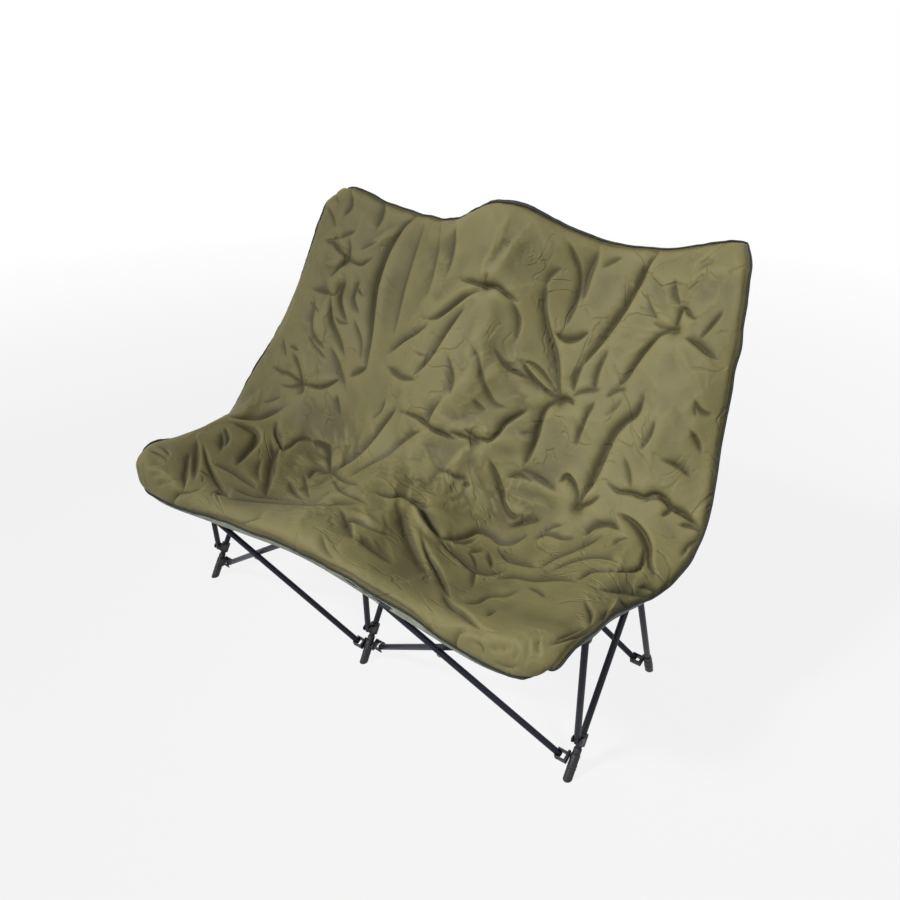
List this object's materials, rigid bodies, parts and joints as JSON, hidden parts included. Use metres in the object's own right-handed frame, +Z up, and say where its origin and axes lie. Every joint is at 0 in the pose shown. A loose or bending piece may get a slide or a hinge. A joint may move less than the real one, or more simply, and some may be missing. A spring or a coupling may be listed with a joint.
{
  "type": "folding camping loveseat",
  "caption": "Folding two-seat camping sofa: a padded quilted sling seat and back hung on three leaning side frames joined by crossed tubes that fold together sideways.",
  "frame": {"origin": "on the floor, at the centre of the middle front foot pad", "axes": "+X across the seat, +Y to the back, +Z up"},
  "size_m": [1.2301, 0.7254, 0.9353],
  "materials": {
    "olive_cloth": "padded nylon cloth with a slight satin sheen, wrinkled",
    "dark_cloth": "heavy plain weave pocket cloth",
    "painted_tube": "satin near-black powder coat on steel tube",
    "black_plastic": "moulded black nylon",
    "pin_steel": "plated rivet steel"
  },
  "bodies": {
    "frame_middle": {"pole_middle": "painted_tube", "pole_pocket_middle": "dark_cloth", "front_foot_middle": "black_plastic", "leg_bracket_middle": "black_plastic", "rail_bracket_middle": "black_plastic", "back_cushion": "olive_cloth"},
    "front_knuckle_a_right_body": {"front_knuckle_a_right": "black_plastic"},
    "front_tube_a_right_body": {"front_tube_a_right": "painted_tube", "front_rivet_right": "pin_steel"},
    "front_tube_b_right_body": {"front_tube_b_right": "painted_tube"},
    "front_knuckle_b_right_body": {"front_knuckle_b_right": "black_plastic"},
    "frame_right": {"pole_right": "painted_tube", "pole_pocket_right": "dark_cloth", "front_foot_right": "black_plastic", "leg_bracket_right": "black_plastic", "rail_bracket_right": "black_plastic"},
    "front_knuckle_a_left_body": {"front_knuckle_a_left": "black_plastic"},
    "front_tube_a_left_body": {"front_tube_a_left": "painted_tube", "front_rivet_left": "pin_steel"},
    "front_tube_b_left_body": {"front_tube_b_left": "painted_tube"},
    "front_knuckle_b_left_body": {"front_knuckle_b_left": "black_plastic"},
    "frame_left": {"pole_left": "painted_tube", "pole_pocket_left": "dark_cloth", "front_foot_left": "black_plastic", "leg_bracket_left": "black_plastic", "rail_bracket_left": "black_plastic"},
    "slider_left_body": {"slider_left": "black_plastic"},
    "post_left_body": {"post_left": "painted_tube"},
    "rail_left_body": {"rail_left": "painted_tube", "tip_hub_left": "black_plastic"},
    "rear_leg_left_body": {"rear_leg_left": "painted_tube", "rear_foot_left": "black_plastic"},
    "upper_sleeve_left_body": {"upper_sleeve_left": "black_plastic"},
    "slider_middle_body": {"slider_middle": "black_plastic"},
    "post_middle_body": {"post_middle": "painted_tube"},
    "rail_middle_body": {"rail_middle": "painted_tube", "tip_hub_middle": "black_plastic", "seat_cushion": "olive_cloth"},
    "rear_leg_middle_body": {"rear_leg_middle": "painted_tube", "rear_foot_middle": "black_plastic"},
    "upper_sleeve_middle_body": {"upper_sleeve_middle": "black_plastic"},
    "slider_right_body": {"slider_right": "black_plastic"},
    "post_right_body": {"post_right": "painted_tube"},
    "rail_right_body": {"rail_right": "painted_tube", "tip_hub_right": "black_plastic"},
    "rear_leg_right_body": {"rear_leg_right": "painted_tube", "rear_foot_right": "black_plastic"},
    "upper_sleeve_right_body": {"upper_sleeve_right": "black_plastic"},
    "rear_knuckle_a_right_body": {"rear_knuckle_a_right": "black_plastic"},
    "rear_tube_a_right_body": {"rear_tube_a_right": "painted_tube", "rear_rivet_right": "pin_steel"},
    "rear_tube_b_right_body": {"rear_tube_b_right": "painted_tube"},
    "rear_knuckle_b_right_body": {"rear_knuckle_b_right": "black_plastic"},
    "rear_knuckle_a_left_body": {"rear_knuckle_a_left": "black_plastic"},
    "rear_tube_a_left_body": {"rear_tube_a_left": "painted_tube", "rear_rivet_left": "pin_steel"},
    "rear_tube_b_left_body": {"rear_tube_b_left": "painted_tube"},
    "rear_knuckle_b_left_body": {"rear_knuckle_b_left": "black_plastic"}
  },
  "joints": [
    {"name": "front_lean_right", "type": "hinge", "parent": "frame_middle", "child": "front_knuckle_a_right_body", "pos_m": [0.013, 0.0215, 0.036], "axis": [-1, 0, 0], "range_deg": [0, 19.77]},
    {"name": "fold", "type": "hinge", "parent": "front_knuckle_a_right_body", "child": "front_tube_a_right_body", "pos_m": [0.03, 0.02821, 0.03862], "axis": [0, -0.9317, -0.3633], "range_deg": [0, 44.29], "deforming": ["back_cushion", "seat_cushion"]},
    {"name": "front_cross_mid_right", "type": "hinge", "parent": "front_tube_a_right_body", "child": "front_tube_b_right_body", "pos_m": [0.2635, -0.04675, 0.211], "axis": [0, 0.9317, 0.3633], "range_deg": [0, 88.57]},
    {"name": "front_cross_b_right", "type": "hinge", "parent": "front_tube_b_right_body", "child": "front_knuckle_b_right_body", "pos_m": [0.497, 0.01479, 0.03338], "axis": [0, -0.9317, -0.3633], "range_deg": [0, 44.29]},
    {"name": "front_level_right", "type": "hinge", "parent": "front_knuckle_b_right_body", "child": "frame_right", "pos_m": [0.514, 0.0215, 0.036], "axis": [1, 0, 0], "range_deg": [0, 19.77]},
    {"name": "front_lean_left", "type": "hinge", "parent": "frame_middle", "child": "front_knuckle_a_left_body", "pos_m": [-0.013, 0.0215, 0.036], "axis": [-1, 0, 0], "range_deg": [0, 19.77]},
    {"name": "front_cross_a_left", "type": "hinge", "parent": "front_knuckle_a_left_body", "child": "front_tube_a_left_body", "pos_m": [-0.03, 0.01479, 0.03338], "axis": [0, 0.9317, 0.3633], "range_deg": [0, 44.29]},
    {"name": "front_cross_mid_left", "type": "hinge", "parent": "front_tube_a_left_body", "child": "front_tube_b_left_body", "pos_m": [-0.2635, -0.04675, 0.211], "axis": [0, -0.9317, -0.3633], "range_deg": [0, 88.57]},
    {"name": "front_cross_b_left", "type": "hinge", "parent": "front_tube_b_left_body", "child": "front_knuckle_b_left_body", "pos_m": [-0.497, 0.02821, 0.03862], "axis": [0, 0.9317, 0.3633], "range_deg": [0, 44.29]},
    {"name": "front_level_left", "type": "hinge", "parent": "front_knuckle_b_left_body", "child": "frame_left", "pos_m": [-0.514, 0.0215, 0.036], "axis": [1, 0, 0], "range_deg": [0, 19.77]},
    {"name": "slider_travel_left", "type": "slide", "parent": "frame_left", "child": "slider_left_body", "axis": [0, 0.5329, 0.8462], "range_m": [0, 0.17586]},
    {"name": "post_swing_left", "type": "hinge", "parent": "slider_left_body", "child": "post_left_body", "pos_m": [-0.527, 0.02455, 0.08027], "axis": [1, 0, 0], "range_deg": [0, 4.96]},
    {"name": "rail_lift_left", "type": "hinge", "parent": "frame_left", "child": "rail_left_body", "pos_m": [-0.527, 0.20762, 0.386], "axis": [-1, 0, 0], "range_deg": [0, 49.28]},
    {"name": "leg_fold_left", "type": "hinge", "parent": "frame_left", "child": "rear_leg_left_body", "pos_m": [-0.527, 0.232, 0.312], "axis": [-1, 0, 0], "range_deg": [0, 47]},
    {"name": "upper_travel_left", "type": "slide", "parent": "frame_left", "child": "upper_sleeve_left_body", "axis": [0, 0.5329, 0.8462], "range_m": [0, 0.20547]},
    {"name": "slider_travel_middle", "type": "slide", "parent": "frame_middle", "child": "slider_middle_body", "axis": [0, 0.4894, 0.8721], "range_m": [0, 0.15915]},
    {"name": "post_swing_middle", "type": "hinge", "parent": "slider_middle_body", "child": "post_middle_body", "pos_m": [0, 0.02045, 0.0814], "axis": [1, 0, 0], "range_deg": [0, 0.9283]},
    {"name": "rail_lift_middle", "type": "hinge", "parent": "frame_middle", "child": "rail_middle_body", "pos_m": [0, 0.18221, 0.386], "axis": [-1, 0, 0], "range_deg": [0, 55.51]},
    {"name": "leg_fold_middle", "type": "hinge", "parent": "frame_middle", "child": "rear_leg_middle_body", "pos_m": [0, 0.232, 0.312], "axis": [-1, 0, 0], "range_deg": [0, 47]},
    {"name": "upper_travel_middle", "type": "slide", "parent": "frame_middle", "child": "upper_sleeve_middle_body", "axis": [0, 0.4894, 0.8721], "range_m": [0, 0.20443]},
    {"name": "slider_travel_right", "type": "slide", "parent": "frame_right", "child": "slider_right_body", "axis": [0, 0.5329, 0.8462], "range_m": [0, 0.17586]},
    {"name": "post_swing_right", "type": "hinge", "parent": "slider_right_body", "child": "post_right_body", "pos_m": [0.527, 0.02455, 0.08027], "axis": [1, 0, 0], "range_deg": [0, 4.96]},
    {"name": "rail_lift_right", "type": "hinge", "parent": "frame_right", "child": "rail_right_body", "pos_m": [0.527, 0.20762, 0.386], "axis": [-1, 0, 0], "range_deg": [0, 49.28]},
    {"name": "leg_fold_right", "type": "hinge", "parent": "frame_right", "child": "rear_leg_right_body", "pos_m": [0.527, 0.232, 0.312], "axis": [-1, 0, 0], "range_deg": [0, 47]},
    {"name": "upper_travel_right", "type": "slide", "parent": "frame_right", "child": "upper_sleeve_right_body", "axis": [0, 0.5329, 0.8462], "range_m": [0, 0.20547]},
    {"name": "rear_lean_right", "type": "hinge", "parent": "rear_leg_middle_body", "child": "rear_knuckle_a_right_body", "pos_m": [0.013, 0.35054, 0.036], "axis": [-1, 0, 0], "range_deg": [-7.71, 0]},
    {"name": "rear_cross_a_right", "type": "hinge", "parent": "rear_knuckle_a_right_body", "child": "rear_tube_a_right_body", "pos_m": [0.03, 0.35752, 0.03777], "axis": [0, -0.9692, -0.2463], "range_deg": [0, 44.29]},
    {"name": "rear_cross_mid_right", "type": "hinge", "parent": "rear_tube_a_right_body", "child": "rear_tube_b_right_body", "pos_m": [0.2635, 0.30427, 0.21805], "axis": [0, 0.9692, 0.2463], "range_deg": [0, 88.57]},
    {"name": "rear_cross_b_right", "type": "hinge", "parent": "rear_tube_b_right_body", "child": "rear_knuckle_b_right_body", "pos_m": [0.497, 0.34356, 0.03423], "axis": [0, -0.9692, -0.2463], "range_deg": [0, 44.29]},
    {"name": "rear_lean_left", "type": "hinge", "parent": "rear_leg_middle_body", "child": "rear_knuckle_a_left_body", "pos_m": [-0.013, 0.35054, 0.036], "axis": [-1, 0, 0], "range_deg": [-7.71, 0]},
    {"name": "rear_cross_a_left", "type": "hinge", "parent": "rear_knuckle_a_left_body", "child": "rear_tube_a_left_body", "pos_m": [-0.03, 0.34356, 0.03423], "axis": [0, 0.9692, 0.2463], "range_deg": [0, 44.29]},
    {"name": "rear_cross_mid_left", "type": "hinge", "parent": "rear_tube_a_left_body", "child": "rear_tube_b_left_body", "pos_m": [-0.2635, 0.30427, 0.21805], "axis": [0, -0.9692, -0.2463], "range_deg": [0, 88.57]},
    {"name": "rear_cross_b_left", "type": "hinge", "parent": "rear_tube_b_left_body", "child": "rear_knuckle_b_left_body", "pos_m": [-0.497, 0.35752, 0.03777], "axis": [0, 0.9692, 0.2463], "range_deg": [0, 44.29]}
  ],
  "couplings": [
    {"joint": "front_lean_right", "follows": "fold", "ratio": 0.44635},
    {"joint": "front_cross_mid_right", "follows": "fold", "ratio": 2},
    {"joint": "front_cross_b_right", "follows": "fold", "ratio": 1},
    {"joint": "front_level_right", "follows": "fold", "ratio": 0.44635},
    {"joint": "front_lean_left", "follows": "fold", "ratio": 0.44635},
    {"joint": "front_cross_a_left", "follows": "fold", "ratio": 1},
    {"joint": "front_cross_mid_left", "follows": "fold", "ratio": 2},
    {"joint": "front_cross_b_left", "follows": "fold", "ratio": 1},
    {"joint": "front_level_left", "follows": "fold", "ratio": 0.44635},
    {"joint": "slider_travel_left", "follows": "fold", "m_per_rad": 0.22751},
    {"joint": "post_swing_left", "follows": "fold", "ratio": 0.11202},
    {"joint": "rail_lift_left", "follows": "fold", "ratio": 1.1127},
    {"joint": "leg_fold_left", "follows": "fold", "ratio": 1.0613},
    {"joint": "upper_travel_left", "follows": "fold", "m_per_rad": 0.26582},
    {"joint": "slider_travel_middle", "follows": "fold", "m_per_rad": 0.2059},
    {"joint": "post_swing_middle", "follows": "fold", "ratio": 0.02094},
    {"joint": "rail_lift_middle", "follows": "fold", "ratio": 1.2534},
    {"joint": "leg_fold_middle", "follows": "fold", "ratio": 1.0613},
    {"joint": "upper_travel_middle", "follows": "fold", "m_per_rad": 0.26448},
    {"joint": "slider_travel_right", "follows": "fold", "m_per_rad": 0.22751},
    {"joint": "post_swing_right", "follows": "fold", "ratio": 0.11202},
    {"joint": "rail_lift_right", "follows": "fold", "ratio": 1.1127},
    {"joint": "leg_fold_right", "follows": "fold", "ratio": 1.0613},
    {"joint": "upper_travel_right", "follows": "fold", "m_per_rad": 0.26582},
    {"joint": "rear_lean_right", "follows": "fold", "ratio": -0.174},
    {"joint": "rear_cross_a_right", "follows": "fold", "ratio": 1},
    {"joint": "rear_cross_mid_right", "follows": "fold", "ratio": 2},
    {"joint": "rear_cross_b_right", "follows": "fold", "ratio": 1},
    {"joint": "rear_lean_left", "follows": "fold", "ratio": -0.174},
    {"joint": "rear_cross_a_left", "follows": "fold", "ratio": 1},
    {"joint": "rear_cross_mid_left", "follows": "fold", "ratio": 2},
    {"joint": "rear_cross_b_left", "follows": "fold", "ratio": 1}
  ]
}
